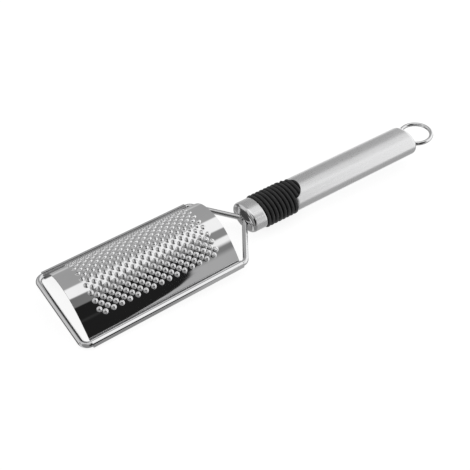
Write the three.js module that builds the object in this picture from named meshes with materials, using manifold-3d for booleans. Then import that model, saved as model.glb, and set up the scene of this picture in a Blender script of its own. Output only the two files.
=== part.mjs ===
// Hand grater: an arched, pierced blade whose two long edges are rolled round
// a bent wire frame, held in a slotted oval steel handle with a ribbed rubber
// grip and a wire hanging loop. Millimetres, +Z up.
//
// The grater is drawn along +X with the wire frame flat in z = 0 (tip wire at
// x = 0), then laid down the way it rests on a table: on the front of its two
// rolled edges and on the first rib of the grip.
import * as THREE from 'three';
import { mergeGeometries, mergeVertices } from 'three/addons/utils/BufferGeometryUtils.js';
import Module from 'manifold-3d';

// ---------------------------------------------------------------- dimensions
const WIRE_R = 1.7;            // frame wire, diameter 3.4
const FRAME_W = 60;            // between the centres of the two long sides
const CORNER_R = 4.6;          // tip corners
const ARM_X0 = 102.2;          // where the arms leave the long sides
const ARM_X1 = 121.4;          // where the arms reach the two tails
const ARM_BEND_R = 4.2;
const TAIL_Y = 1.95;           // half distance between the tails
const TAIL_END = 130.2;        // tails end inside the ferrule

const SHEET_T = 0.5;           // blade sheet
const BLADE_X0 = 3.9;          // tip edge of the blade
const BLADE_X1 = 99.9;         // handle edge of the blade
const HEM_IN = 1.9;            // inside radius of the rolled edge
const HEM_END = 36;            // free edge of the roll, degrees above the inside
const ARCH_HALF = 27.52;       // half width of the arch at its foot
const ARCH_FOOT_Z = 0.6;
const ARCH_RISE = 18.27;
const ARCH_FULL = 0.235;       // how much fuller than a circle the shoulders are

const TOOTH_ROWS = 21;
const ROW_PITCH = 2.5;         // along the arch
const ROW_FIRST = -25.6;       // arch length from the crown to the first row
const TOOTH_PITCH = 4.893;     // along the blade
const TOOTH_X = 17.97;         // first tooth of the short rows
const TOOTH_BASE_R = 1.22;
const TOOTH_H = 0.95;
const TOOTH_HOLE_R = 0.62;

const HANDLE_X = 122;          // front reference of the handle
const HANDLE_Z = 0.35;
const HANDLE_DROOP = 1.08;     // degrees below the frame plane
const OVAL_Y = 11.8;           // handle half width
const OVAL_Z = 8.4;            // handle half height
const FERRULE_U0 = -0.6;
const FERRULE_U1 = 9.55;
const FERRULE_ROUND = 2.6;
const FERRULE_WALL = 0.8;
const SLOT_W = 10.8;
const SLOT_H = 4.1;
const CORE_GAP = 1.15;         // from the handle surface to the core
const CORE_WALL = 1.0;
const CORE_U0 = 5.6;
const CORE_U1 = 47;
const GRIP_U0 = 9.85;
const GRIP_U1 = 32.8;
const TONGUE_L = 7.8;          // thumb tongue beyond the sleeve
const TONGUE_W = 9.0;          // its half width
const RIB_PITCH = 2.93;
const RIB_FIRST = 11.15;       // first crest
const RIB_CREST = 0.85;        // crest above the handle surface
const RIB_VALLEY = 0.2;
const RIB_HALF = 0.75;         // half width of a crest
const TUBE_WALL = 0.6;
const TUBE_U1 = 133.6;
const TUBE_ROUND = 3.0;
const GAP = 0.3;

const RING_R = 10.3;           // centre line of the loop
const RING_WIRE_R = 1.35;
const RING_U = 143.4;          // centre of the loop
const LEG_Y = 7.3;
const LEG_END = 127.3;

// ------------------------------------------------------------------- helpers
const wasm = await Module();
wasm.setup();

// closed three.js geometry -> solid, faces turned outwards
function solid(geometry) {
  const g0 = geometry.clone();
  g0.deleteAttribute('normal');
  g0.deleteAttribute('uv');
  const g = mergeVertices(g0, 1e-4);
  const p = g.attributes.position.array;
  const tris = [];
  for (let i = 0; i < g.index.count; i += 3) {
    const a = g.index.getX(i), b = g.index.getX(i + 1), c = g.index.getX(i + 2);
    if (a !== b && b !== c && c !== a) tris.push(a, b, c);
  }
  let vol = 0;
  for (let i = 0; i < tris.length; i += 3) {
    const [a, b, c] = [tris[i] * 3, tris[i + 1] * 3, tris[i + 2] * 3];
    vol += p[a] * (p[b + 1] * p[c + 2] - p[b + 2] * p[c + 1])
         - p[a + 1] * (p[b] * p[c + 2] - p[b + 2] * p[c])
         + p[a + 2] * (p[b] * p[c + 1] - p[b + 1] * p[c]);
  }
  if (vol < 0) for (let i = 0; i < tris.length; i += 3) [tris[i], tris[i + 1]] = [tris[i + 1], tris[i]];
  const mesh = new wasm.Mesh({
    numProp: 3, vertProperties: new Float32Array(p), triVerts: new Uint32Array(tris), tolerance: 1e-4,
  });
  mesh.merge();
  return new wasm.Manifold(mesh);
}

function geometryOf(manifold) {
  const m = manifold.getMesh();
  const g = new THREE.BufferGeometry();
  g.setAttribute('position', new THREE.BufferAttribute(new Float32Array(m.vertProperties), 3));
  g.setIndex(new THREE.BufferAttribute(new Uint32Array(m.triVerts), 1));
  g.computeVertexNormals();
  return g;
}

function part(name, geometry, color, roughness, metalness) {
  const mesh = new THREE.Mesh(geometry, new THREE.MeshStandardMaterial({ color, roughness, metalness }));
  mesh.name = name;
  return mesh;
}

// outline in (y, z), extruded along x
function alongX(points, x0, x1) {
  const shape = new THREE.Shape(points.map(([y, z]) => new THREE.Vector2(y, z)));
  const g = new THREE.ExtrudeGeometry(shape, { depth: x1 - x0, steps: 1, bevelEnabled: false });
  g.applyMatrix4(new THREE.Matrix4().set(0, 0, 1, x0, 1, 0, 0, 0, 0, 1, 0, 0, 0, 0, 0, 1));
  return g;
}

// outline in (x, y), extruded along z
function alongZ(points, z0, z1) {
  const shape = new THREE.Shape(points.map(([x, y]) => new THREE.Vector2(x, y)));
  const g = new THREE.ExtrudeGeometry(shape, { depth: z1 - z0, steps: 1, bevelEnabled: false });
  g.translate(0, 0, z0);
  return g;
}

// profile of (x, offset inwards from the handle surface), turned round x and
// stretched to the handle's oval
function oval(profile, segments = 36) {
  const g = new THREE.LatheGeometry(profile.map(([u, d]) => new THREE.Vector2(Math.max(OVAL_Z - d, 0), u)), segments);
  g.applyMatrix4(new THREE.Matrix4().set(0, 1, 0, 0, 0, 0, 1, 0, 1, 0, 0, 0, 0, 0, 0, 1));
  const p = g.attributes.position;
  for (let i = 0; i < p.count; i++) {
    const y = p.getY(i), z = p.getZ(i), r = Math.hypot(y, z);
    if (r < 1e-6) continue;
    const d = OVAL_Z - r;                       // same inset on both half axes
    p.setY(i, (y / r) * Math.max(OVAL_Y - d, 0));
    if (OVAL_Y - d < 0) p.setZ(i, 0);
  }
  return g;
}
const AXIS = OVAL_Z;                            // inset that reaches the axis

// round bar through a list of { point, tangent }, straight between entries
class Route extends THREE.Curve {
  constructor(nodes) { super(); this.nodes = nodes; }
  entry(u) { return this.nodes[Math.round(u * (this.nodes.length - 1))]; }
  getPointAt(u, target = new THREE.Vector3()) { return target.copy(this.entry(u).point); }
  getPoint(u, target) { return this.getPointAt(u, target); }
  getTangentAt(u, target = new THREE.Vector3()) { return target.copy(this.entry(u).tangent); }
  getTangent(u, target) { return this.getTangentAt(u, target); }
}
function bar(nodes, radius, sides) {
  const section = new THREE.Shape();
  for (let i = 0; i < sides; i++) {
    const a = (2 * Math.PI * (i + 0.5)) / sides;
    section[i ? 'lineTo' : 'moveTo'](radius * Math.cos(a), radius * Math.sin(a));
  }
  section.closePath();
  return new THREE.ExtrudeGeometry(section, { steps: nodes.length - 1, extrudePath: new Route(nodes), bevelEnabled: false });
}
// flat polyline with rounded corners: [[x, y, radius], ...] in z = 0
function filleted(points, step) {
  const nodes = [];
  const V = (x, y) => new THREE.Vector3(x, y, 0);
  const n = points.length;
  for (let i = 0; i < n; i++) {
    const [x, y, r] = points[i];
    const here = V(x, y);
    if (i === 0 || i === n - 1) {
      const other = i === 0 ? V(points[1][0], points[1][1]) : V(points[n - 2][0], points[n - 2][1]);
      const t = (i === 0 ? other.sub(here) : here.clone().sub(other)).normalize();
      nodes.push({ point: here, tangent: t });
      continue;
    }
    const d0 = here.clone().sub(V(points[i - 1][0], points[i - 1][1])).normalize();
    const d1 = V(points[i + 1][0], points[i + 1][1]).sub(here).normalize();
    const turn = Math.atan2(d0.x * d1.y - d0.y * d1.x, d0.dot(d1));
    const cut = r * Math.tan(Math.abs(turn) / 2);
    const side = Math.sign(turn);
    const start = here.clone().addScaledVector(d0, -cut);
    const centre = start.clone().add(V(-d0.y * r * side, d0.x * r * side));
    const k = Math.max(2, Math.ceil(Math.abs(turn) / step));
    for (let j = 0; j <= k; j++) {
      const a = (turn * j) / k;
      const c = Math.cos(a), s = Math.sin(a);
      const rel = start.clone().sub(centre);
      nodes.push({
        point: centre.clone().add(V(rel.x * c - rel.y * s, rel.x * s + rel.y * c)),
        tangent: V(d0.x * c - d0.y * s, d0.x * s + d0.y * c),
      });
    }
  }
  return nodes;
}

// --------------------------------------------------------------- frame wire
const half = FRAME_W / 2;
const frameNodes = filleted([
  [TAIL_END, TAIL_Y, 0],
  [ARM_X1, TAIL_Y, ARM_BEND_R],
  [ARM_X0, half, ARM_BEND_R],
  [0, half, CORNER_R],
  [0, -half, CORNER_R],
  [ARM_X0, -half, ARM_BEND_R],
  [ARM_X1, -TAIL_Y, ARM_BEND_R],
  [TAIL_END, -TAIL_Y, 0],
], Math.PI / 12);
const frameWire = part('frame_wire', bar(frameNodes, WIRE_R, 10), 0xb9babb, 0.22, 1.0);

// ------------------------------------------------------------- grater blade
// height of the outer surface of the arch over its half width
const archR = (ARCH_HALF ** 2 + ARCH_RISE ** 2) / (2 * ARCH_RISE);
function archZ(y) {
  const t = y / ARCH_HALF;
  const c = ARCH_RISE - archR + Math.sqrt(Math.max(archR ** 2 - y * y, 0));
  return ARCH_FOOT_Z + c * (1 + ARCH_FULL * (1 - t * t) * t * t);
}
// the arch measured along its surface from the crown
const archTable = [];
{
  let s = 0, py = 0, pz = archZ(0);
  archTable.push([0, 0, pz]);
  for (let i = 1; i <= 4000; i++) {
    const y = (ARCH_HALF * i) / 4000, z = archZ(y);
    s += Math.hypot(y - py, z - pz);
    archTable.push([s, y, z]);
    py = y; pz = z;
  }
}
function archAt(s) {
  const a = Math.abs(s);
  let lo = 0, hi = archTable.length - 1;
  while (hi - lo > 1) { const m = (lo + hi) >> 1; if (archTable[m][0] <= a) lo = m; else hi = m; }
  const k = Math.min((a - archTable[lo][0]) / (archTable[hi][0] - archTable[lo][0]), 1);
  const y = archTable[lo][1] + k * (archTable[hi][1] - archTable[lo][1]);
  return [Math.sign(s) * y, archZ(y)];
}

// middle line of the sheet: free edge of the near roll, round the wire, up the
// wall, over the arch with one flat for every row of teeth, and down again
const rm = HEM_IN + SHEET_T / 2;
const rollAngles = [HEM_END, 58, 80, 105, 130, 155, 180, 205, 230, 255, 285, 310, 335, 360]
  .map((a) => (a * Math.PI) / 180);              // 255 to 285 is the flat it rests on
const flats = [];
for (let k = 0; k <= TOOTH_ROWS; k++) flats.push(ROW_FIRST + (k - 0.5) * ROW_PITCH);
const line = rollAngles.map((a) => [-half + rm * Math.cos(a), rm * Math.sin(a)]);
const firstFlat = line.length + 3;
for (const s of [-33.2, -31.0, -29.0, ...flats, 28.4, 30.6, 33.2]) {
  const [y, z] = archAt(s);
  const [ya, za] = archAt(s - 0.05), [yb, zb] = archAt(s + 0.05);
  const l = Math.hypot(yb - ya, zb - za);
  line.push([y + ((zb - za) / l) * SHEET_T / 2, z - ((yb - ya) / l) * SHEET_T / 2]);
}
for (const a of [...rollAngles].reverse()) line.push([half - rm * Math.cos(a), rm * Math.sin(a)]);

// the two surfaces of the sheet, half its thickness to either side
const unit = (a, b) => { const l = Math.hypot(b[0] - a[0], b[1] - a[1]); return [(b[0] - a[0]) / l, (b[1] - a[1]) / l]; };
const outside = [], inside = [];
line.forEach((q, i) => {
  const d0 = unit(...(i ? [line[i - 1], q] : [q, line[i + 1]]));
  const d1 = unit(...(i < line.length - 1 ? [q, line[i + 1]] : [line[i - 1], q]));
  const m = [-(d0[1] + d1[1]), d0[0] + d1[0]];
  const k = SHEET_T / (m[0] ** 2 + m[1] ** 2);
  outside.push([q[0] + m[0] * k, q[1] + m[1] * k]);
  inside.push([q[0] - m[0] * k, q[1] - m[1] * k]);
});

// flat strip from a to b along the blade, with triangular windows
function strip(a, b, windows = []) {
  const d = unit(a, b), l = Math.hypot(b[0] - a[0], b[1] - a[1]);
  const shape = new THREE.Shape([[BLADE_X0, 0], [BLADE_X1, 0], [BLADE_X1, l], [BLADE_X0, l]].map(([x, v]) => new THREE.Vector2(x, v)));
  for (const w of windows) shape.holes.push(new THREE.Path(w.map(([x, v]) => new THREE.Vector2(x, v))));
  const g = new THREE.ShapeGeometry(shape);
  return g.applyMatrix4(new THREE.Matrix4().set(1, 0, 0, 0, 0, d[0], -d[1], a[0], 0, d[1], d[0], a[1], 0, 0, 0, 1));
}
// open three-sided wall of a tooth, standing on a strip, radii at foot and top
function wall(x, foot, up, height, r0, r1) {
  const g = new THREE.CylinderGeometry(r1, r0, height, 3, 1, true, Math.PI / 2);
  g.translate(0, height / 2, 0);
  g.applyQuaternion(new THREE.Quaternion().setFromUnitVectors(new THREE.Vector3(0, 1, 0), new THREE.Vector3(0, ...up)));
  return g.translate(x, ...foot);
}
const triangle = (x, v, r) => [0, 2, 1].map((j) => [x + r * Math.cos((2 * Math.PI * j) / 3), v + r * Math.sin((2 * Math.PI * j) / 3)]);
const turned = (g) => {                           // same faces, seen from the other side
  const f = g.clone();
  for (let i = 0; i < f.index.count; i += 3) {
    const t = f.index.getX(i);
    f.index.setX(i, f.index.getX(i + 1));
    f.index.setX(i + 1, t);
  }
  return f;
};

const skins = [];
for (let i = 0; i < line.length - 1; i++) {
  const row = i - firstFlat;
  const [a, b, ai, bi] = [outside[i], outside[i + 1], inside[i], inside[i + 1]];
  if (row < 0 || row >= TOOTH_ROWS) { skins.push(strip(a, b), strip(bi, ai)); continue; }
  // a row of pierced points pushed up out of this flat; rows are staggered
  const d = unit(a, b), up = [-d[1], d[0]];
  const foot = [(a[0] + b[0]) / 2, (a[1] + b[1]) / 2];
  const back = [foot[0] - up[0] * SHEET_T, foot[1] - up[1] * SHEET_T];
  const vOut = (foot[0] - a[0]) * d[0] + (foot[1] - a[1]) * d[1];
  const vIn = (back[0] - bi[0]) * -d[0] + (back[1] - bi[1]) * -d[1];
  const short = row % 2 === 0;
  const at = [];
  for (let j = 0; j < (short ? 15 : 16); j++) at.push(TOOTH_X + (short ? 0 : -TOOTH_PITCH / 2) + j * TOOTH_PITCH);
  skins.push(strip(a, b, at.map((x) => triangle(x, vOut, TOOTH_BASE_R))));
  skins.push(strip(bi, ai, at.map((x) => triangle(x, vIn, TOOTH_HOLE_R))));
  for (const x of at) {
    skins.push(wall(x, foot, up, TOOTH_H, TOOTH_BASE_R, TOOTH_HOLE_R));
    skins.push(turned(wall(x, back, up, TOOTH_H + SHEET_T, TOOTH_HOLE_R, TOOTH_HOLE_R)));
  }
}
skins.push(strip(inside[0], outside[0]), strip(outside.at(-1), inside.at(-1)));
const section = new THREE.ShapeGeometry(new THREE.Shape(
  [...outside, ...[...inside].reverse()].map(([y, z]) => new THREE.Vector2(y, z))));
const facing = (x) => section.clone().applyMatrix4(new THREE.Matrix4().set(0, 0, 1, x, 1, 0, 0, 0, 0, 1, 0, 0, 0, 0, 0, 1));
skins.push(facing(BLADE_X1), turned(facing(BLADE_X0)));
for (const g of skins) { g.deleteAttribute('normal'); g.deleteAttribute('uv'); }
const graterBlade = part('grater_blade', geometryOf(solid(mergeGeometries(skins))), 0xb4b5b6, 0.1, 1.0);

// ------------------------------------------------------------------- handle
const handle = new THREE.Group();
handle.position.set(HANDLE_X, 0, HANDLE_Z);
handle.rotation.y = (HANDLE_DROOP * Math.PI) / 180;

function quarter(u, d, r, from, to, n) {         // rounded edge of a profile
  const out = [];
  for (let i = 0; i <= n; i++) {
    const a = from + ((to - from) * i) / n;
    out.push([u + r * Math.cos(a), d + r * Math.sin(a)]);
  }
  return out;
}

// slotted front ferrule, open at the back
const ferruleOuter = solid(oval([
  [FERRULE_U0, AXIS],
  ...quarter(FERRULE_U0 + FERRULE_ROUND, FERRULE_ROUND, FERRULE_ROUND, Math.PI, 1.5 * Math.PI, 5),
  [FERRULE_U1, 0], [FERRULE_U1, AXIS],
]));
const fr = FERRULE_ROUND - 0.6;
const ferruleInner = solid(oval([
  [FERRULE_U0 + 1.4, AXIS],
  ...quarter(FERRULE_U0 + 1.4 + fr, FERRULE_WALL + fr, fr, Math.PI, 1.5 * Math.PI, 3),
  [FERRULE_U1 + 2, FERRULE_WALL], [FERRULE_U1 + 2, AXIS],
]));
const slot = new THREE.BoxGeometry(5.2, SLOT_W, SLOT_H);
slot.translate(FERRULE_U0 - 0.6, 0, -HANDLE_Z);
const ferrule = part('front_ferrule', geometryOf(ferruleOuter.subtract(ferruleInner).subtract(solid(slot))), 0xc2c3c4, 0.34, 1.0);

// plug inside the ferrule that the two wire tails are welded into
const plugOuter = solid(oval([
  [1.35, AXIS], [1.35, FERRULE_WALL + 1.6], [2.3, FERRULE_WALL + GAP], [5.2, FERRULE_WALL + GAP], [5.2, AXIS],
], 28));
const plugCut = new THREE.BoxGeometry(20, 2 * TAIL_Y + 2 * WIRE_R + 2 * GAP, 2 * WIRE_R + 2 * GAP);
plugCut.translate(5, 0, -HANDLE_Z + 0.08);
const plug = part('tang_plug', geometryOf(plugOuter.subtract(solid(plugCut))), 0x8c8d8f, 0.5, 1.0);

// oval core tube that joins ferrule and handle under the rubber
const core = part('core_tube', geometryOf(solid(oval([
  [CORE_U0, CORE_GAP + CORE_WALL], [CORE_U0, CORE_GAP], [CORE_U1, CORE_GAP], [CORE_U1, CORE_GAP + CORE_WALL],
  [CORE_U0, CORE_GAP + CORE_WALL],
], 32))), 0x9a9b9d, 0.5, 1.0);

// outline of the sleeve seen from above, with the thumb tongue
function sleeveOutline(grow) {
  const out = [[GRIP_U0 - 6, -20], [GRIP_U1 + grow, -20]];
  const n = 14, w = TONGUE_W + grow, l = TONGUE_L + grow;
  for (let i = 0; i <= n; i++) {
    const a = -Math.PI / 2 + (Math.PI * i) / n;
    out.push([GRIP_U1 + (i === 0 || i === n ? grow : Math.max(grow, l * Math.cos(a))), w * Math.sin(a)]);
  }
  out.push([GRIP_U1 + grow, 20], [GRIP_U0 - 6, 20]);
  return out;
}
// ribbed rubber sleeve
const ribLine = [[GRIP_U0, -RIB_VALLEY]];
const gripEnd = GRIP_U1 + TONGUE_L;
for (let i = 0; ; i++) {
  const c = RIB_FIRST + i * RIB_PITCH;
  if (c - RIB_HALF > GRIP_U0 && c - RIB_HALF < gripEnd) ribLine.push([c - RIB_HALF, -RIB_CREST]);
  if (c + RIB_HALF < gripEnd) ribLine.push([c + RIB_HALF, -RIB_CREST]);
  if (c + RIB_PITCH / 2 < gripEnd) ribLine.push([c + RIB_PITCH / 2, -RIB_VALLEY]);
  if (c > gripEnd) break;
}
const sleeveBody = solid(oval([
  ...ribLine, [gripEnd + 0.5, -RIB_VALLEY], [gripEnd + 0.5, CORE_GAP - GAP], [GRIP_U0, CORE_GAP - GAP], [GRIP_U0, -RIB_VALLEY],
], 28));
const sleeve = part('grip_sleeve', geometryOf(sleeveBody.intersect(solid(alongZ(sleeveOutline(0), -20, 20)))), 0x1b1b1c, 0.62, 0.0);

// drawn handle tube, closed and rounded at the back, notched for the tongues
const tubeOuter = solid(oval([
  [GRIP_U1 - 3, AXIS], [GRIP_U1 - 3, 0],
  ...quarter(TUBE_U1 - TUBE_ROUND, TUBE_ROUND, TUBE_ROUND, 1.5 * Math.PI, 2 * Math.PI, 5),
  [TUBE_U1, AXIS],
]));
const tr = TUBE_ROUND - TUBE_WALL;
const tubeInner = solid(oval([
  [GRIP_U1 - 6, AXIS], [GRIP_U1 - 6, TUBE_WALL],
  ...quarter(TUBE_U1 - TUBE_ROUND, TUBE_ROUND, tr, 1.5 * Math.PI, 2 * Math.PI, 4),
  [TUBE_U1 - TUBE_WALL, AXIS],
]));
let tubeBody = tubeOuter.subtract(tubeInner).subtract(solid(alongZ(sleeveOutline(GAP), -20, 20)));
for (const side of [-1, 1]) {
  const hole = new THREE.CylinderGeometry(RING_WIRE_R + GAP, RING_WIRE_R + GAP, 8, 12, 1);
  hole.rotateZ(Math.PI / 2);
  hole.translate(TUBE_U1, side * LEG_Y, 0);
  tubeBody = tubeBody.subtract(solid(hole));
}
const tube = part('handle_tube', geometryOf(tubeBody), 0xbdbebf, 0.3, 1.0);

// hanging loop: round bow, two legs through the end of the tube
const ringNodes = [];
{
  const open = Math.asin(LEG_Y / RING_R);        // bow meets the legs here
  const uLeg = RING_U - RING_R * Math.cos(open);
  const easy = 1.6;                              // short run that turns into the leg
  ringNodes.push({ point: new THREE.Vector3(LEG_END, LEG_Y, 0), tangent: new THREE.Vector3(1, 0, 0) });
  ringNodes.push({ point: new THREE.Vector3(uLeg - easy, LEG_Y, 0), tangent: new THREE.Vector3(1, 0, 0) });
  const n = 26, a0 = Math.PI - open - 0.16;
  for (let i = 0; i <= n; i++) {
    const a = a0 - (2 * a0 * i) / n;
    ringNodes.push({
      point: new THREE.Vector3(RING_U + RING_R * Math.cos(a), RING_R * Math.sin(a), 0),
      tangent: new THREE.Vector3(Math.sin(a), -Math.cos(a), 0),
    });
  }
  ringNodes.push({ point: new THREE.Vector3(uLeg - easy, -LEG_Y, 0), tangent: new THREE.Vector3(-1, 0, 0) });
  ringNodes.push({ point: new THREE.Vector3(LEG_END, -LEG_Y, 0), tangent: new THREE.Vector3(-1, 0, 0) });
}
const ring = part('hanging_ring', bar(ringNodes, RING_WIRE_R, 8), 0xbfc0c1, 0.16, 1.0);

// plate inside the tube that the legs of the loop are fixed to
const anchorBody = solid(oval([
  [127.6, AXIS], [127.6, TUBE_WALL + 1.2], [130.0, TUBE_WALL + 1.2], [130.0, AXIS],
], 28));
let anchorCut = anchorBody;
for (const side of [-1, 1]) {
  const hole = new THREE.CylinderGeometry(RING_WIRE_R + GAP, RING_WIRE_R + GAP, 8, 12, 1);
  hole.rotateZ(Math.PI / 2);
  hole.translate(128.8, side * LEG_Y, 0);
  anchorCut = anchorCut.subtract(solid(hole));
}
const anchor = part('ring_anchor', geometryOf(anchorCut), 0x8c8d8f, 0.5, 1.0);

handle.add(ferrule, plug, core, sleeve, tube, ring, anchor);

// ----------------------------------------------------------------- assembly
const grater = new THREE.Group();
grater.add(graterBlade, frameWire, handle);
// laid down on the tip ends of the rolled edges and on the first rib
const droop = (HANDLE_DROOP * Math.PI) / 180;
const ribU = RIB_FIRST - RIB_HALF, ribZ = -(OVAL_Z + RIB_CREST);
const front = [BLADE_X0, -(rm * Math.cos(Math.PI / 12) + SHEET_T / 2)];
const rear = [HANDLE_X + ribU * Math.cos(droop) + ribZ * Math.sin(droop),
  HANDLE_Z - ribU * Math.sin(droop) + ribZ * Math.cos(droop)];
grater.rotation.y = Math.atan2(rear[1] - front[1], rear[0] - front[0]);
const box = new THREE.Box3().setFromObject(grater, true);
grater.position.set(-(box.min.x + box.max.x) / 2, -(box.min.y + box.max.y) / 2, -box.min.z);
const root = new THREE.Group();
root.add(grater);
export default root;
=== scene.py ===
import math

import bpy
import numpy as np
from mathutils import Matrix, Vector


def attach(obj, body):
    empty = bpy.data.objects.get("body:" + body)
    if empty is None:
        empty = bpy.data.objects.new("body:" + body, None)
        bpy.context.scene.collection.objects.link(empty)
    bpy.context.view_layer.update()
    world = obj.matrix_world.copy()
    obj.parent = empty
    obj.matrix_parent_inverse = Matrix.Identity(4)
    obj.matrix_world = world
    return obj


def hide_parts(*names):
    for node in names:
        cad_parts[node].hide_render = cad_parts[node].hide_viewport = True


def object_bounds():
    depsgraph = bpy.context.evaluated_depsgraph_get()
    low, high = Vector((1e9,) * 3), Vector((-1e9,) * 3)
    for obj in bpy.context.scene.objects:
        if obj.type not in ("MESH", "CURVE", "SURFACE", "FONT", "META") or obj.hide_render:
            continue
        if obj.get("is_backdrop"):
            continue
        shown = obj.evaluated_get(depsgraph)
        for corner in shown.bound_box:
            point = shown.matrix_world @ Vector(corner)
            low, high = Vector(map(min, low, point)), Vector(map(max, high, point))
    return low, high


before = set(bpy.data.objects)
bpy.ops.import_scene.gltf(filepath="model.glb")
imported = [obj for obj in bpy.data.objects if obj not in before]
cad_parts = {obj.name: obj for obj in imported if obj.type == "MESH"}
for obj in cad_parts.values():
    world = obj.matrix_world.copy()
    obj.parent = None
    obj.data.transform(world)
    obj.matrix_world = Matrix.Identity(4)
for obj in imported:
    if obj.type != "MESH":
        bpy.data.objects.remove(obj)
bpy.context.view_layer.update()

# ------------------------------------------------------------------ dimensions
# Millimetres. The grater is drawn along +x with its wire frame in z = 0, and
# then laid on the table as the CAD lays it.
TILT = math.radians(-3.018912)
SHIFT = np.array([-137.495309, 0.0, 2.118116])
HANDLE_AT = np.array([122.0, 0.0, 0.35])
DROOP = math.radians(1.08)

WIRE_R, FRAME_W, CORNER_R = 1.7, 60.0, 4.6
ARM_X0, ARM_X1, ARM_BEND_R = 102.2, 121.4, 4.2
TAIL_Y, TAIL_END = 1.95, 130.2

SHEET_T = 0.5
BLADE_X0, BLADE_X1 = 4.3, 99.5
HEM_MID = 2.15
ARCH_HALF, ARCH_FOOT, ARCH_RISE, ARCH_FULL = 27.52, 0.6, 18.27, 0.235
DROP_NEAR, DROP_FAR = 10.0, 13.2
ROWS, ROW_PITCH, ROW_FIRST = 21, 2.44, -25.1
TOOTH_PITCH, TOOTH_X = 4.893, 18.10
HOLE_R = 0.58

OVAL_Y, OVAL_Z = 11.8, 8.4
FERRULE_U0, FERRULE_U1, FERRULE_ROUND = -0.6, 9.55, 2.6
GRIP_U0, GRIP_U1, TONGUE_L, TONGUE_W = 9.85, 32.8, 7.8, 9.0
RIB_PITCH, RIB_FIRST, RIB_CREST, RIB_VALLEY = 2.93, 11.15, 0.85, -0.45
TUBE_U1, TUBE_ROUND = 133.6, 3.0
RING_R, RING_WIRE_R, RING_U, LEG_Y = 10.3, 1.35, 143.1, 7.3


def about_y(a):
    return np.array([[math.cos(a), 0, math.sin(a)], [0, 1, 0], [-math.sin(a), 0, math.cos(a)]])


R_TILT, R_DROOP = about_y(TILT), about_y(DROOP)


def laid(p):
    return (np.asarray(p, float) @ R_TILT.T + SHIFT) / 1000.0


def laid_handle(p):
    return laid(np.asarray(p, float) @ R_DROOP.T + HANDLE_AT)


# --------------------------------------------------------------------- helpers
def piece(name, verts, faces, node, material, sharp_deg=38.0, loop_normals=None):
    """A closed mesh that stands for a CAD node. verts are in the row frame, in metres."""
    clean = []
    for f in faces:
        g = [v for i, v in enumerate(f) if v != f[i - 1]]
        if len(set(g)) > 2:
            clean.append(g)
    if loop_normals is None:
        v = np.asarray(verts)
        vol = 0.0
        for f in clean:
            for i in range(1, len(f) - 1):
                vol += np.dot(v[f[0]], np.cross(v[f[i]], v[f[i + 1]]))
        if vol < 0:
            clean = [f[::-1] for f in clean]
    me = bpy.data.meshes.new(name)
    me.from_pydata(np.asarray(verts).tolist(), [], clean)
    me.polygons.foreach_set("use_smooth", [True] * len(me.polygons))
    me.update()
    if loop_normals is not None:
        me.normals_split_custom_set(loop_normals)
    else:
        me.set_sharp_from_angle(angle=math.radians(sharp_deg))
    ob = bpy.data.objects.new(name, me)
    bpy.context.scene.collection.objects.link(ob)
    me.materials.append(material)
    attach(ob, "root")
    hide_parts(node)
    return ob


def swept(nodes, radius, sides, twist=0.0):
    """Round bar with flat ends through [(point, tangent)], all in the plane z = 0."""
    verts, faces = [], []
    for p, t in nodes:
        p, t = np.array(p, float), np.array(t, float)
        side = np.array([-t[1], t[0], 0.0])
        for k in range(sides):
            a = 2 * math.pi * k / sides + twist
            verts.append(p + radius * (math.cos(a) * side + math.sin(a) * np.array([0, 0, 1.0])))
    n = len(nodes)
    for i in range(n - 1):
        for k in range(sides):
            a, b = i * sides + k, i * sides + (k + 1) % sides
            faces.append([a, b, b + sides, a + sides])
    for i, flip in ((0, True), (n - 1, False)):
        c = len(verts)
        verts.append(np.array(nodes[i][0], float))
        for k in range(sides):
            f = [i * sides + k, i * sides + (k + 1) % sides, c]
            faces.append(f[::-1] if flip else f)
    return np.array(verts), faces


def filleted(points, step):
    """Flat polyline [[x, y, radius]] with rounded corners, as (point, tangent)."""
    out = []
    n = len(points)
    for i, (x, y, r) in enumerate(points):
        here = np.array([x, y, 0.0])
        if i in (0, n - 1):
            o = points[1] if i == 0 else points[n - 2]
            t = np.array([o[0], o[1], 0.0]) - here
            t = (t if i == 0 else -t) / np.linalg.norm(t)
            out.append((here, t))
            continue
        d0 = here - np.array([points[i - 1][0], points[i - 1][1], 0.0])
        d1 = np.array([points[i + 1][0], points[i + 1][1], 0.0]) - here
        d0, d1 = d0 / np.linalg.norm(d0), d1 / np.linalg.norm(d1)
        turn = math.atan2(d0[0] * d1[1] - d0[1] * d1[0], float(d0 @ d1))
        start = here - d0 * r * math.tan(abs(turn) / 2)
        centre = start + np.array([-d0[1], d0[0], 0.0]) * r * math.copysign(1, turn)
        k = max(3, math.ceil(abs(turn) / step))
        for j in range(k + 1):
            a = turn * j / k
            rot = np.array([[math.cos(a), -math.sin(a), 0], [math.sin(a), math.cos(a), 0], [0, 0, 1.0]])
            out.append((centre + rot @ (start - centre), rot @ d0))
    return out


# ------------------------------------------------------------------- materials
def new_material(name):
    m = bpy.data.materials.new(name)
    m.use_nodes = True
    nt = m.node_tree
    nt.nodes.clear()
    out = nt.nodes.new("ShaderNodeOutputMaterial")
    bsdf = nt.nodes.new("ShaderNodeBsdfPrincipled")
    nt.links.new(bsdf.outputs["BSDF"], out.inputs["Surface"])
    return m, nt, bsdf


def coords(nt, scale, turn=0.0):
    tc = nt.nodes.new("ShaderNodeTexCoord")
    mp = nt.nodes.new("ShaderNodeMapping")
    mp.inputs["Scale"].default_value = scale
    mp.inputs["Rotation"].default_value = (0.0, turn, 0.0)
    nt.links.new(tc.outputs["Object"], mp.inputs["Vector"])
    return mp.outputs["Vector"]


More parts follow.
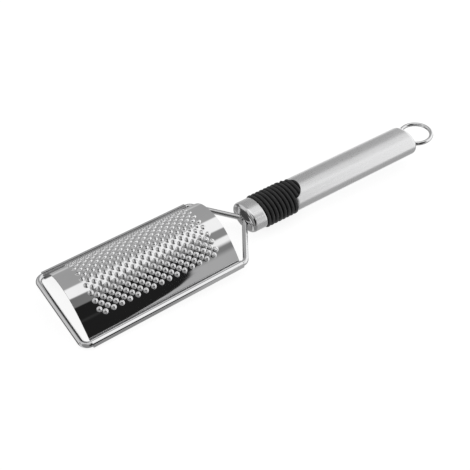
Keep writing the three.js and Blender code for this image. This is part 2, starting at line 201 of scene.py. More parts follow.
def noise(nt, vector, scale=1.0, detail=3.0, rough=0.55, distortion=0.0):
    n = nt.nodes.new("ShaderNodeTexNoise")
    n.inputs["Scale"].default_value = scale
    n.inputs["Detail"].default_value = detail
    n.inputs["Roughness"].default_value = rough
    n.inputs["Distortion"].default_value = distortion
    nt.links.new(vector, n.inputs["Vector"])
    return n.outputs["Fac"]


def spread(nt, value, lo, hi, a=0.3, b=0.7):
    m = nt.nodes.new("ShaderNodeMapRange")
    m.inputs["From Min"].default_value = a
    m.inputs["From Max"].default_value = b
    m.inputs["To Min"].default_value = lo
    m.inputs["To Max"].default_value = hi
    nt.links.new(value, m.inputs["Value"])
    return m.outputs["Result"]


def maths(nt, op, a, b=None):
    m = nt.nodes.new("ShaderNodeMath")
    m.operation = op
    for i, v in enumerate((a, b)):
        if v is None:
            continue
        if isinstance(v, (int, float)):
            m.inputs[i].default_value = v
        else:
            nt.links.new(v, m.inputs[i])
    return m.outputs[0]


def ramp(nt, value, stops):
    r = nt.nodes.new("ShaderNodeValToRGB")
    while len(r.color_ramp.elements) < len(stops):
        r.color_ramp.elements.new(0.5)
    for e, (pos, col) in zip(r.color_ramp.elements, stops):
        e.position = pos
        e.color = (*col, 1.0)
    nt.links.new(value, r.inputs["Fac"])
    return r.outputs["Color"]


def bump(nt, height, strength, distance, below=None):
    b = nt.nodes.new("ShaderNodeBump")
    b.inputs["Strength"].default_value = strength
    b.inputs["Distance"].default_value = distance
    nt.links.new(height, b.inputs["Height"])
    if below is not None:
        nt.links.new(below, b.inputs["Normal"])
    return b.outputs["Normal"]


def rise(nt, value, a, b):
    """0 at a, 1 at b, smoothly."""
    mr = nt.nodes.new("ShaderNodeMapRange")
    mr.interpolation_type = "SMOOTHSTEP"
    mr.inputs["From Min"].default_value = min(a, b)
    mr.inputs["From Max"].default_value = max(a, b)
    mr.inputs["To Min"].default_value = 0.0 if a < b else 1.0
    mr.inputs["To Max"].default_value = 1.0 if a < b else 0.0
    nt.links.new(value, mr.inputs["Value"])
    return mr.outputs["Result"]


def both(nt, *masks):
    out = masks[0]
    for x in masks[1:]:
        out = maths(nt, "MULTIPLY", out, x)
    return out


def lay(nt, v, target, mask):
    """v where the mask is 0, target where it is 1."""
    d = maths(nt, "SUBTRACT", target, v)
    return maths(nt, "ADD", maths(nt, "MULTIPLY", mask, d), v)


def split(nt, vector):
    sp = nt.nodes.new("ShaderNodeSeparateXYZ")
    nt.links.new(vector, sp.inputs[0])
    return sp.outputs


def steel(name, light, dark, rough_lo, rough_hi, grain=None, wave=0.0, scratch=0.0, dull_shaded_inside=None, bright_front=None, dull_and_shaded_part=None):
    """Stainless steel. grain is the (x, y, z) scale of the brushing, wave the unevenness of the sheet, scratch the fine handling marks."""
    m, nt, bsdf = new_material(name)
    bsdf.inputs["Metallic"].default_value = 1.0
    cloud = noise(nt, coords(nt, (38.0, 38.0, 38.0)), 1.0, 4.0, 0.6)
    marks = noise(nt, coords(nt, (90.0, 1500.0, 1500.0), 0.5), 1.0, 3.0, 0.6, 0.4)
    if grain:
        lines = noise(nt, coords(nt, grain), 1.0, 4.0, 0.65)
        shade = maths(nt, "ADD", maths(nt, "MULTIPLY", lines, 0.6), maths(nt, "MULTIPLY", cloud, 0.4))
    else:
        lines = marks
        shade = cloud
    tint = ramp(nt, shade, [(0.3, dark), (0.7, light)])
    fine = maths(nt, "ADD", maths(nt, "MULTIPLY", lines, 0.6), maths(nt, "MULTIPLY", cloud, 0.4))
    rough = spread(nt, fine, rough_lo, rough_hi, 0.35, 0.68)
    if dull_shaded_inside:
        # painted shade: the side that faces down inside the arch is painted darker, as the shade under the arch, and
        # is also left dull as rolled
        geo = nt.nodes.new("ShaderNodeNewGeometry")
        down = rise(nt, split(nt, geo.outputs["Normal"])[2], 0.02, -0.06)
        across = maths(nt, "ABSOLUTE", split(nt, coords(nt, (1.0, 1.0, 1.0)))[1])
        inside = both(nt, down, rise(nt, across, 0.0278, 0.0270))
        mix = nt.nodes.new("ShaderNodeMix")
        mix.data_type = "RGBA"
        nt.links.new(inside, mix.inputs["Factor"])
        nt.links.new(tint, mix.inputs["A"])
        nt.links.new(ramp(nt, shade, [(0.3, (dull_shaded_inside * 0.8,) * 3), (0.7, (dull_shaded_inside,) * 3)]), mix.inputs["B"])
        tint = mix.outputs["Result"]
        rough = lay(nt, rough, 0.42, inside)
    if bright_front:
        along = split(nt, coords(nt, (1.0, 1.0, 1.0)))[0]
        rough = lay(nt, rough, 0.10, rise(nt, along, bright_front[1], bright_front[0]))
    if dull_and_shaded_part:
        # painted shade: the length that lies inside the rolled edges is painted darker, as the shade in the crevice of
        # the roll, and is also left dull as not polished
        at = split(nt, coords(nt, (1.0, 1.0, 1.0)))
        dull_shade_mask = both(nt, rise(nt, at[0], dull_and_shaded_part[0] - 0.0004, dull_and_shaded_part[0] + 0.0004), rise(nt, at[0], dull_and_shaded_part[1] + 0.0004, dull_and_shaded_part[1] - 0.0004),
                    rise(nt, maths(nt, "ABSOLUTE", at[1]), 0.0265, 0.0275))
        mix = nt.nodes.new("ShaderNodeMix")
        mix.data_type = "RGBA"
        nt.links.new(dull_shade_mask, mix.inputs["Factor"])
        nt.links.new(tint, mix.inputs["A"])
        nt.links.new(ramp(nt, shade, [(0.3, (0.28, 0.28, 0.28)), (0.7, (0.42, 0.42, 0.425))]), mix.inputs["B"])
        tint = mix.outputs["Result"]
        rough = lay(nt, rough, 0.5, dull_shade_mask)
    nt.links.new(tint, bsdf.inputs["Base Color"])
    nt.links.new(rough, bsdf.inputs["Roughness"])
    normal = None
    if wave:
        normal = bump(nt, noise(nt, coords(nt, (55.0, 75.0, 75.0)), 1.0, 1.5, 0.4), 1.0, wave)
    if grain:
        normal = bump(nt, lines, 0.25, 0.000004, normal)
    if scratch:
        normal = bump(nt, marks, 0.3, scratch, normal)
    if normal is not None:
        nt.links.new(normal, bsdf.inputs["Normal"])
    return m


# the blade's inside value paints shade on the downward inside of the arch
blade_mat = steel("polished_sheet", (0.86, 0.86, 0.865), (0.80, 0.80, 0.805), 0.02, 0.05, wave=0.00002, scratch=0.0000012, dull_shaded_inside=0.12)
# the wire's dull part paints shade on the wire inside the rolled edges
wire_mat = steel("polished_wire", (0.84, 0.84, 0.845), (0.74, 0.74, 0.745), 0.10, 0.20, wave=0.00001, scratch=0.000002, dull_and_shaded_part=(-0.1332, -0.0380))
ring_mat = steel("polished_loop", (0.86, 0.86, 0.865), (0.78, 0.78, 0.785), 0.08, 0.15, wave=0.00001, scratch=0.000002)
tube_mat = steel("satin_tube", (0.86, 0.86, 0.865), (0.79, 0.79, 0.795), 0.24, 0.34, grain=(70.0, 5200.0, 5200.0))
ferrule_mat = steel("satin_ferrule", (0.86, 0.86, 0.865), (0.78, 0.78, 0.785), 0.22, 0.32, grain=(90.0, 4600.0, 4600.0), bright_front=(-0.0145, -0.0130))


def rubber_material():
    m, nt, bsdf = new_material("moulded_rubber")
    bsdf.inputs["Specular IOR Level"].default_value = 0.32
    cloud = noise(nt, coords(nt, (120.0, 120.0, 120.0)), 1.0, 4.0, 0.6)
    grain = noise(nt, coords(nt, (5200.0, 5200.0, 5200.0)), 1.0, 2.0, 0.5)
    # painted highlight on the crests of the ribs and painted shade in the valleys: greyer on the crests than in the
    # valleys, with random tone from the cloud noise
    at = laid_handle(np.array([[RIB_FIRST, 0.0, 0.0], [RIB_FIRST + 1.0, 0.0, 0.0]]))
    along = nt.nodes.new("ShaderNodeVectorMath")
    along.operation = "DOT_PRODUCT"
    nt.links.new(coords(nt, (1.0, 1.0, 1.0)), along.inputs[0])
    axis = (at[1] - at[0]) * 1000.0
    along.inputs[1].default_value = tuple(axis)
    turn = 2000.0 * math.pi / RIB_PITCH
    phase = maths(nt, "SUBTRACT", maths(nt, "MULTIPLY", along.outputs["Value"], turn), float(at[0] @ axis) * turn)
    crest = rise(nt, maths(nt, "COSINE", phase), -0.85, 0.25)
    crest_highlight_valley_shade = maths(nt, "MULTIPLY", crest, maths(nt, "ADD", maths(nt, "MULTIPLY", cloud, 0.6), 0.7))
    nt.links.new(ramp(nt, crest_highlight_valley_shade, [(0.0, (0.0015, 0.0015, 0.0016)), (1.0, (0.046, 0.046, 0.047))]), bsdf.inputs["Base Color"])
    nt.links.new(spread(nt, maths(nt, "ADD", maths(nt, "MULTIPLY", cloud, 0.5), maths(nt, "MULTIPLY", grain, 0.5)), 0.42, 0.58), bsdf.inputs["Roughness"])
    nt.links.new(bump(nt, grain, 0.35, 0.00002), bsdf.inputs["Normal"])
    return m


rubber_mat = rubber_material()


def rough_steel(name, light, dark):
    m, nt, bsdf = new_material(name)
    bsdf.inputs["Metallic"].default_value = 1.0
    cloud = noise(nt, coords(nt, (300.0, 300.0, 300.0)), 1.0, 5.0, 0.65)
    grit = noise(nt, coords(nt, (1500.0, 1500.0, 1500.0)), 1.0, 3.0, 0.6)
    nt.links.new(ramp(nt, maths(nt, "ADD", maths(nt, "MULTIPLY", cloud, 0.5), maths(nt, "MULTIPLY", grit, 0.5)), [(0.3, dark), (0.7, light)]), bsdf.inputs["Base Color"])
    nt.links.new(spread(nt, grit, 0.4, 0.75), bsdf.inputs["Roughness"])
    nt.links.new(bump(nt, grit, 0.6, 0.0001), bsdf.inputs["Normal"])
    return m


# the plug seen inside the slot is given a dark, gritty, rough steel
inner_mat = rough_steel("dark_gritty_plug_steel", (0.20, 0.20, 0.20), (0.06, 0.06, 0.06))
core_mat = rough_steel("drawn_core_steel", (0.40, 0.40, 0.405), (0.25, 0.25, 0.25))
anchor_mat = rough_steel("anchor_plate_steel", (0.38, 0.38, 0.385), (0.24, 0.24, 0.24))
for node, mat in (("tang_plug", inner_mat), ("core_tube", core_mat), ("ring_anchor", anchor_mat)):
    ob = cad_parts[node]
    ob.data.materials.clear()
    ob.data.materials.append(mat)

# ----------------------------------------------------------------- grater blade
half = FRAME_W / 2
arch_r = (ARCH_HALF**2 + ARCH_RISE**2) / (2 * ARCH_RISE)


def arch_z(y, drop):
    t = y / ARCH_HALF
    c = ARCH_RISE - arch_r + np.sqrt(np.maximum(arch_r**2 - y * y, 0.0))
    return ARCH_FOOT + c * (1 + ARCH_FULL * (1 - t * t) * t * t) - drop * t**3 * (1 - t * t)


def curve(p0, d0, p1, d1, n):
    """Smooth line from p0 along d0 to p1 along d1, without its first point."""
    p0, d0, p1, d1 = (np.array(v, float) for v in (p0, d0, p1, d1))
    L = 1.06 * np.linalg.norm(p1 - p0)
    h = np.linspace(0, 1, n + 1)[1:, None]
    return ((2 * h**3 - 3 * h**2 + 1) * p0 + (h**3 - 2 * h**2 + h) * L * d0
            + (-2 * h**3 + 3 * h**2) * p1 + (h**3 - h**2) * L * d1)


# the roll: down the inside of the wire, under it, up the outside and over the top,
# pressed flatter on top; the sheet is drawn thinner there
ROLL = [
    ((half - 1.994, -0.930), (0.4226, -0.9063)),
    ((half + 0.100, -2.250), (1.0, 0.0)),
    ((half + 2.139, -0.877), (0.485, 0.875)),
    ((half + 2.270, 0.200), (0.0, 1.0)),
    ((half + 2.185, 0.911), (-0.259, 0.966)),
    ((half + 2.050, 1.198), (-0.682, 0.731)),
    ((half + 1.699, 1.519), (-0.940, 0.342)),
    ((half + 0.916, 1.754), (-0.974, 0.225)),
    ((half + 0.100, 1.890), (-1.0, 0.0)),
    ((half - 0.449, 1.824), (-0.940, -0.342)),
    ((half - 0.908, 1.642), (-0.788, -0.616)),
    ((half - 1.545, 1.064), (-0.643, -0.766)),
]
ROLL_T = 0.3
ARCH_END = 30.6


def half_section(drop):
    """One half of the section, from the crown to the free edge of the roll: middle of
    the sheet, as a dense line with its outward normal, and its lengths."""
    y = np.linspace(0, ARCH_HALF, 6001)
    z = arch_z(y, drop)
    s = np.concatenate([[0.0], np.cumsum(np.hypot(np.diff(y), np.diff(z)))])
    sa = np.arange(0, ARCH_END + 1e-9, 0.02)
    oy, oz = np.interp(sa, s, y), np.interp(sa, s, z)
    ty, tz = np.gradient(oy, sa), np.gradient(oz, sa)
    tl = np.hypot(ty, tz)
    ty, tz = ty / tl, tz / tl
    my, mz = oy + tz * SHEET_T / 2, oz - ty * SHEET_T / 2
    herm = curve((my[-1], mz[-1]), (ty[-1], tz[-1]), *ROLL[0], 160)
    roll = np.concatenate([curve(*p, *q, 160) for p, q in zip(ROLL, ROLL[1:])])
    line = np.concatenate([np.stack([my, mz], 1), herm, roll])
    step = np.hypot(*np.diff(line, axis=0).T)
    lt = np.concatenate([sa, sa[-1] + np.cumsum(step[len(sa) - 1:])])
    tan = np.gradient(line, lt, axis=0)
    tan /= np.linalg.norm(tan, axis=1)[:, None]
    nor = np.stack([-tan[:, 1], tan[:, 0]], 1)
    over = np.nonzero((line[:, 1] > 1.5) & (line[:, 0] > half - 0.5) & (line[:, 0] < half + 0.15))[0][0]
    return {"t": lt, "line": line, "nor": nor, "roll": lt[len(sa) + len(herm) - 1], "end": lt[-1], "short": lt[over]}


NEAR, FAR_SIDE = half_section(DROP_NEAR), half_section(DROP_FAR)


def section(t):
    """Middle of the sheet, normal and tangent (y, z) at path length t from the crown; near side negative."""
    t = np.asarray(t, float)
    a, near = np.abs(t), (t < 0)[..., None]
    m, n = ([np.stack([np.interp(a, h["t"], h[k][:, 0]) * sg, np.interp(a, h["t"], h[k][:, 1])], -1)
             for h, sg in ((NEAR, -1.0), (FAR_SIDE, 1.0))] for k in ("line", "nor"))
    m, n = np.where(near, *m), np.where(near, *n)
    n /= np.linalg.norm(n, axis=-1)[..., None]
    d = np.stack([n[..., 1], -n[..., 0]], -1)
    return m, n, d


# height of a tooth over its radius, from the slope: a round dome that runs out into the sheet
_r = np.linspace(0, 2.0, 2001)
_dr = -np.tan(np.radians(np.interp(_r, [0, 0.58, 0.75, 0.95, 1.10, 1.25, 1.38, 1.50, 1.60, 1.68, 2.0],
                                   [14, 19, 29, 41, 47, 43, 29, 15, 6, 0, 0])))
_hr = -np.concatenate([np.cumsum((0.5 * (_dr[1:] + _dr[:-1]) * np.diff(_r))[::-1])[::-1], [0.0]])

verts_xt, index = [], {}


def vertex(x, t, r=None, cx=0.0, ct=0.0):
    key = (round(x, 4), round(t, 4))
    if key not in index:
        index[key] = len(verts_xt)
        verts_xt.append((x, t, -1.0 if r is None else r, cx, ct))
    return index[key]


outer_faces, inner_faces, hole_loops = [], [], []
EDGE_N = 4
A, B = TOOTH_PITCH / 2, ROW_PITCH
RINGS = [1.66, 1.52, 1.38, 1.26, 1.13, 0.98, 0.84, 0.70, HOLE_R]
RINGS_IN = [1.66, 1.26, 0.84, HOLE_R]
x_lo, x_hi = TOOTH_X - TOOTH_PITCH, TOOTH_X + 15 * TOOTH_PITCH
t_lo, t_hi = ROW_FIRST - ROW_PITCH, ROW_FIRST + ROWS * ROW_PITCH


def edge(p, q, n):
    return [(p[0] + (q[0] - p[0]) * i / n, p[1] + (q[1] - p[1]) * i / n) for i in range(n)]


def cell(cx, ct):
    corners = [(cx + A, ct), (cx, ct + B), (cx - A, ct), (cx, ct - B)]
    rim = sum((edge(corners[i], corners[(i + 1) % 4], EDGE_N) for i in range(4)), [])
    n = len(rim)
    ang = [math.atan2(t - ct, x - cx) for x, t in rim]
    rings = {}
    base = [vertex(x, t) for x, t in rim]
    for r in RINGS:
        rings[r] = [vertex(cx + r * math.cos(a), ct + r * math.sin(a), r, cx, ct) for a in ang]
    for radii, faces in ((RINGS, outer_faces), (RINGS_IN, inner_faces)):
        loops = [base] + [rings[r] for r in radii]
        for o, i in zip(loops, loops[1:]):
            for k in range(n):
                faces.append([o[k], o[(k + 1) % n], i[(k + 1) % n], i[k]])
    hole_loops.append(rings[HOLE_R])


BASE_N = 3


def half_cell(points):
    """Toothless half of a cell at the border of the field: a fan round its middle."""
    loop = [vertex(x, t) for x, t in points]
    cx, ct = np.mean([p[0] for p in points]), np.mean([p[1] for p in points])
    c = vertex(cx, ct)
    for k in range(len(loop)):
        f = [loop[k], loop[(k + 1) % len(loop)], c]
        outer_faces.append(f)
        inner_faces.append(f)


for k in range(ROWS):
    ct = ROW_FIRST + k * ROW_PITCH
    short = k % 2 == 0
    for j in range(15 if short else 16):
        cell(TOOTH_X + (0 if short else -A) + j * TOOTH_PITCH, ct)
    if short:
        half_cell(edge((x_lo, ct - B), (x_lo + A, ct), EDGE_N) + edge((x_lo + A, ct), (x_lo, ct + B), EDGE_N)
                  + edge((x_lo, ct + B), (x_lo, ct - B), BASE_N))
        half_cell(edge((x_hi, ct + B), (x_hi - A, ct), EDGE_N) + edge((x_hi - A, ct), (x_hi, ct - B), EDGE_N)
                  + edge((x_hi, ct - B), (x_hi, ct + B), BASE_N))
for j in range(16):
    cx = TOOTH_X - A + j * TOOTH_PITCH
    half_cell(edge((cx + A, t_lo), (cx, t_lo + B), EDGE_N) + edge((cx, t_lo + B), (cx - A, t_lo), EDGE_N)
              + edge((cx - A, t_lo), (cx + A, t_lo), BASE_N))
    half_cell(edge((cx - A, t_hi), (cx, t_hi - B), EDGE_N) + edge((cx, t_hi - B), (cx + A, t_hi), EDGE_N)
              + edge((cx + A, t_hi), (cx - A, t_hi), BASE_N))


def grid(xs, ts):
    for x0, x1 in zip(xs, xs[1:]):
        for t0, t1 in zip(ts, ts[1:]):
            f = [vertex(x0, t0), vertex(x1, t0), vertex(x1, t1), vertex(x0, t1)]
            outer_faces.append(f)
            inner_faces.append(f)


n_t = int(round((t_hi - t_lo) / (2 * B))) * BASE_N
n_x = 16 * BASE_N
ts_mid = [t_lo + (t_hi - t_lo) * i / n_t for i in range(n_t + 1)]
xs_mid = [x_lo + (x_hi - x_lo) * i / n_x for i in range(n_x + 1)]
xs_lo = [BLADE_X0, BLADE_X0 + 0.35] + [BLADE_X0 + (x_lo - BLADE_X0) * f for f in (0.35, 0.7)] + [x_lo]
xs_hi = [x_hi] + [x_hi + (BLADE_X1 - x_hi) * f for f in (0.3, 0.65)] + [BLADE_X1 - 0.35, BLADE_X1]


def tail(h, end):
    return list(np.linspace(ARCH_END, h["roll"], 7)) + list(np.linspace(h["roll"], end, 57))[1:]


# the far edge is trimmed shorter than the near one
ts_far = [t_hi, (t_hi + ARCH_END) / 2] + tail(FAR_SIDE, FAR_SIDE["short"])
ts_near = [-t for t in reversed(tail(NEAR, NEAR["end"]))] + [(t_lo - ARCH_END) / 2, t_lo]
xs_all = xs_lo[:-1] + xs_mid + xs_hi[1:]
ts_all = ts_near[:-1] + ts_mid + ts_far[1:]
grid(xs_lo, ts_mid)
grid(xs_hi, ts_mid)
grid(xs_all, ts_near)
grid(xs_all, ts_far)

vx = np.array(verts_xt)
m2, n2, d2 = section(vx[:, 1])
hgt = np.where(vx[:, 2] >= 0, np.interp(vx[:, 2], _r, _hr), 0.0)
slope = np.where(vx[:, 2] >= 0, np.interp(vx[:, 2], _r, _dr), 0.0)
rad = np.maximum(vx[:, 2], 1e-6)
hx = np.where(vx[:, 2] >= 0, slope * (vx[:, 0] - vx[:, 3]) / rad, 0.0)
ht = np.where(vx[:, 2] >= 0, slope * (vx[:, 1] - vx[:, 4]) / rad, 0.0) / (1 + hgt / 30)
nrm = np.stack([-hx, n2[:, 0] - ht * d2[:, 0], n2[:, 1] - ht * d2[:, 1]], 1)
nrm /= np.linalg.norm(nrm, axis=1)[:, None]
sheet = np.interp(vx[:, 1], [-NEAR["roll"], -ARCH_END, ARCH_END, FAR_SIDE["roll"]], [ROLL_T, SHEET_T, SHEET_T, ROLL_T])
lift = sheet / 2 + hgt
out_p = np.stack([vx[:, 0], m2[:, 0] + n2[:, 0] * lift, m2[:, 1] + n2[:, 1] * lift], 1)
thick = sheet - 0.14 * np.clip(hgt / _hr[0], 0, 1)
in_p = out_p - nrm * thick[:, None]

used = sorted({v for f in inner_faces for v in f})
back_of = {v: len(vx) + i for i, v in enumerate(used)}
blade_verts = np.concatenate([out_p, in_p[used]])
blade_faces, blade_normals = [], []


def n_of(v, sign):
    return tuple((sign * nrm[v]) @ R_TILT.T)


def flat_normal(f):
    p = blade_verts[f]
    n = np.cross(p[1] - p[0], p[2] - p[0])
    n = n / (np.linalg.norm(n) or 1.0)
    return tuple(n @ R_TILT.T)


for f in outer_faces:
    blade_faces.append(f)
    blade_normals += [n_of(v, 1) for v in f]
for f in inner_faces:
    g = f[::-1]
    blade_faces.append([back_of[v] for v in g])
    blade_normals += [n_of(v, -1) for v in g]


def rim_strip(loop, closed, flip):
    n = len(loop)
    for i in range(n if closed else n - 1):
        a, b = loop[i], loop[(i + 1) % n]
        f = [a, b, back_of[b], back_of[a]]
        if flip:
            f = f[::-1]
        blade_faces.append(f)
        fn = flat_normal(f)
        blade_normals.extend([fn] * 4)


for loop in hole_loops:
    rim_strip(loop, True, False)
rim_strip([vertex(BLADE_X0, t) for t in ts_all], False, False)
rim_strip([vertex(BLADE_X1, t) for t in ts_all], False, True)
rim_strip([vertex(x, ts_all[-1]) for x in xs_all], False, False)
rim_strip([vertex(x, ts_all[0]) for x in xs_all], False, True)
blade = piece("blade_sheet", laid(blade_verts), blade_faces, "grater_blade", blade_mat, loop_normals=blade_normals)

# ------------------------------------------------------------------- frame wire
wire_nodes = filleted([
    [TAIL_END, TAIL_Y, 0], [ARM_X1, TAIL_Y, ARM_BEND_R], [ARM_X0, half, ARM_BEND_R], [0, half, CORNER_R],
    [0, -half, CORNER_R], [ARM_X0, -half, ARM_BEND_R], [ARM_X1, -TAIL_Y, ARM_BEND_R], [TAIL_END, -TAIL_Y, 0],
], math.radians(4.0))
wv, wf = swept(wire_nodes, WIRE_R, 28)
wire = piece("bent_wire", laid(wv), wf, "frame_wire", wire_mat)


# ---------------------------------------------------------------- handle pieces
def oval_loop(u, d, phis):
    return np.stack([np.full(len(phis), u), (OVAL_Y - d) * np.sin(phis), (OVAL_Z - d) * np.cos(phis)], 1)


def lofted(loops, closed=False, start_fan=None, end_fan=None):
    """Quads between neighbouring closed loops of the same length."""
    n = len(loops[0])
    verts = np.concatenate(loops)
    faces = []
    m = len(loops)
    for i in range(m if closed else m - 1):
        a0, b0 = i * n, ((i + 1) % m) * n
        for k in range(n):
            faces.append([a0 + k, a0 + (k + 1) % n, b0 + (k + 1) % n, b0 + k])
    extra = []
    for fan, base, flip in ((start_fan, 0, False), (end_fan, (m - 1) * n, True)):
        if fan is None:
            continue
        c = len(verts) + len(extra)
        extra.append(fan)
        for k in range(n):
            f = [base + (k + 1) % n, base + k, c]
            faces.append(f[::-1] if flip else f)
    if extra:
        verts = np.concatenate([verts, np.array(extra)])
    return verts, faces


# ferrule: one shell, from the back edge over the front to the inside
N_OVAL = 160
phis = np.arange(N_OVAL) * 2 * math.pi / N_OVAL
SLOT_HALF, SLOT_H2, SLOT_Z, LIP = 5.3, 1.95, -0.35, 0.3


def slot_loop(u, grow):
    """Long round-ended opening, met by rays at the oval's own angles."""
    out = []
    hl, hh = SLOT_HALF + grow, SLOT_H2 + grow
    for p in phis:
        dy, dz = 9.2 * math.sin(p), 5.8 * math.cos(p)
        k = np.linspace(0, 1.0, 1500)
        y, z = k * dy, k * dz
        ay = np.maximum(np.abs(y) - (hl - hh), 0)
        inside = ay**2 + z**2 <= hh * hh
        i = int(np.nonzero(inside)[0][-1])
        out.append((u, y[i], z[i] + SLOT_Z))
    return np.array(out)


loops = [oval_loop(FERRULE_U1, 0.25, phis), oval_loop(FERRULE_U1 - 0.08, 0.06, phis), oval_loop(FERRULE_U1 - 0.25, 0, phis)]
loops += [oval_loop(u, 0, phis) for u in np.linspace(8.6, 2.6, 6)]
for i in range(11):
    a = math.pi / 2 * i / 10
    loops.append(oval_loop(FERRULE_U0 + FERRULE_ROUND * (1 - math.sin(a)), FERRULE_ROUND * (1 - math.cos(a)), phis))
outer_flat, inner_flat = loops[-1], slot_loop(FERRULE_U0, LIP)


def pressed(loop, share):
    """The upper half of the front leans back a little from the edge of the slot."""
    k = np.clip((loop[:, 2] - SLOT_Z) / SLOT_H2, 0, 1)
    return loop - np.outer(LEAN * share * k * k * (3 - 2 * k), [1.0, 0.0, 0.0])


LEAN = 0.6
for f in (0.06, 0.2, 0.4, 0.6, 0.8, 1.0):
    loops.append(pressed(outer_flat * (1 - f) + inner_flat * f, f))
for i in range(1, 6):
    a = math.pi / 2 * i / 5
    loops.append(pressed(slot_loop(FERRULE_U0 + LIP * (1 - math.cos(a)), LIP * (1 - math.sin(a))), 1.0))
loops.append(slot_loop(0.55, 0.0))
inner_front = slot_loop(0.6, 0.0)
wide = oval_loop(0.6, 3.2, phis)
loops += [inner_front * 0.5 + wide * 0.5, wide, oval_loop(1.2, 1.6, phis), oval_loop(2.6, 0.85, phis), oval_loop(FERRULE_U1 - 0.05, 0.8, phis)]
fv, ff = lofted(loops, closed=True)
ferrule = piece("slotted_ferrule", laid_handle(fv), ff, "front_ferrule", ferrule_mat, sharp_deg=50)


def handle_phis(width):
    """Angles round the oval, crowded where the edge of a thumb tongue runs steeply."""
    lim = math.asin(width / OVAL_Y)
    psi = np.linspace(-math.pi / 2, math.pi / 2, 45)
    top = np.arcsin(width * np.sin(psi) / OVAL_Y)
    side = np.linspace(lim, math.pi - lim, 31)[1:-1]
    return np.concatenate([top, side, top + math.pi, side + math.pi])


def tongue_end(phi, grow):
    y = OVAL_Y * np.sin(phi)
    w, l = TONGUE_W + grow, TONGUE_L + grow
    k = 1 - (y / w) ** 2
    return GRIP_U1 + grow + np.where(k > 1e-9, np.maximum(l * np.sqrt(np.maximum(k, 0)) - grow, 0.0), 0.0)


def outline(grow):
    """Edge of the sleeve, developed round the oval, for both tongues: (u, y, top or bottom)."""
    ps = np.linspace(-math.pi / 2, math.pi / 2, 400)
    y = (TONGUE_W + grow) * np.sin(ps)
    return np.stack([GRIP_U1 + grow + np.maximum((TONGUE_L + grow) * np.cos(ps) - grow, 0), y], 1)


EDGE_LINE = outline(0.0)


def edge_distance(u, phi):
    """How far a point of the sleeve is from its back edge."""
    y = OVAL_Y * math.sin(phi)
    d = float(np.min(np.hypot(EDGE_LINE[:, 0] - u, EDGE_LINE[:, 1] - y)))
    if abs(y) > TONGUE_W:
        d = min(d, abs(GRIP_U1 - u))
    else:
        side = np.hypot(GRIP_U1 - u, TONGUE_W - abs(y))
        d = min(d, side)
    return d


def rib(u):
    k = np.abs(((u - RIB_FIRST) / RIB_PITCH + 0.5) % 1.0 - 0.5) * 2
    return RIB_VALLEY + (RIB_CREST - RIB_VALLEY) * (0.5 + 0.5 * np.cos(math.pi * k)) ** 0.7


# sleeve
ph = handle_phis(TONGUE_W)
ends = tongue_end(ph, 0.0)
base_u = [GRIP_U0, GRIP_U0 + 0.04, GRIP_U0 + 0.12, GRIP_U0 + 0.25, GRIP_U0 + 0.45]
u = GRIP_U0 + 0.7
while u < GRIP_U1 - 0.62:
    base_u.append(u)
    u += RIB_PITCH / 11
base_u += [GRIP_U1 - 0.55, GRIP_U1 - 0.35, GRIP_U1 - 0.2, GRIP_U1 - 0.09, GRIP_U1 - 0.02, GRIP_U1]
TK = 34
tfrac = [1 - (1 - k / TK) ** 1.6 for k in range(1, TK + 1)]
INNER = 0.85
verts, faces, columns = [], [], []
for p, e in zip(ph, ends):
    col = []

    def put(uu, dd):
        verts.append((uu, (OVAL_Y - dd) * math.sin(p), (OVAL_Z - dd) * math.cos(p)))
        return len(verts) - 1

    col.append(put(GRIP_U0, INNER))
    for uu in base_u + [GRIP_U1 + (e - GRIP_U1) * f for f in tfrac]:
        if uu > GRIP_U1 and e - GRIP_U1 < 1e-6 or (uu == GRIP_U1 and len(col) > len(base_u)):
            col.append(col[-1])
            continue
        bulge = rib(uu)
        dist = edge_distance(uu, p)
        front = uu - GRIP_U0
        for dd, rr in ((dist, 0.55), (front, 0.45)):
            if dd < rr:
                bulge *= math.sqrt(max(1 - (1 - dd / rr) ** 2, 0.0))
        col.append(put(uu, -bulge + (0.12 if dist < 1e-6 else 0.0)))
    col.append(put(e, INNER))
    columns.append(col)
for a, b in zip(columns, columns[1:] + columns[:1]):
    n = len(a)
    for i in range(n):
        faces.append([a[i], b[i], b[(i + 1) % n], a[(i + 1) % n]])
sleeve = piece("ribbed_sleeve", laid_handle(np.array(verts)), faces, "grip_sleeve", rubber_mat, sharp_deg=60)

# handle tube: rounded closed end, front edge cut to the sleeve's outline
GAP = 0.1
pt = handle_phis(TONGUE_W + GAP)
starts = tongue_end(pt, GAP)
loops = []
for du, d in ((0.0, 0.6), (0.0, 0.16), (0.05, 0.05), (0.16, 0.0)):
    lp = oval_loop(0.0, d, pt)
    lp[:, 0] = starts + du
    loops.append(lp)
JOIN = 44.0
for f in (0.15, 0.35, 0.6, 0.8, 1.0):
    lp = oval_loop(0.0, 0.0, pt)
    lp[:, 0] = (starts + 0.16) * (1 - f) + JOIN * f
    loops.append(lp)
loops += [oval_loop(u, 0.0, pt) for u in np.linspace(48, TUBE_U1 - TUBE_ROUND - 0.5, 24)]
for i in range(13):
    a = math.pi / 2 * i / 12
    loops.append(oval_loop(TUBE_U1 - TUBE_ROUND + TUBE_ROUND * math.sin(a), TUBE_ROUND * (1 - math.cos(a)), pt))
flat = loops[-1]
mid = np.array([TUBE_U1, 0.0, 0.0])
for f in (0.15, 0.4, 0.7):
    loops.append(flat * (1 - f) + mid * f)
outer_n = len(loops)
inside = [oval_loop(TUBE_U1 - 1.0, 5.0, pt), oval_loop(TUBE_U1 - 1.4, 2.6, pt), oval_loop(TUBE_U1 - 3.2, 0.7, pt), oval_loop(JOIN, 0.6, pt)]
nphi = len(pt)
ov, of_ = lofted(loops, end_fan=mid)
iv, if_ = lofted(inside, start_fan=np.array([TUBE_U1 - 0.9, 0.0, 0.0]))
off = len(ov)
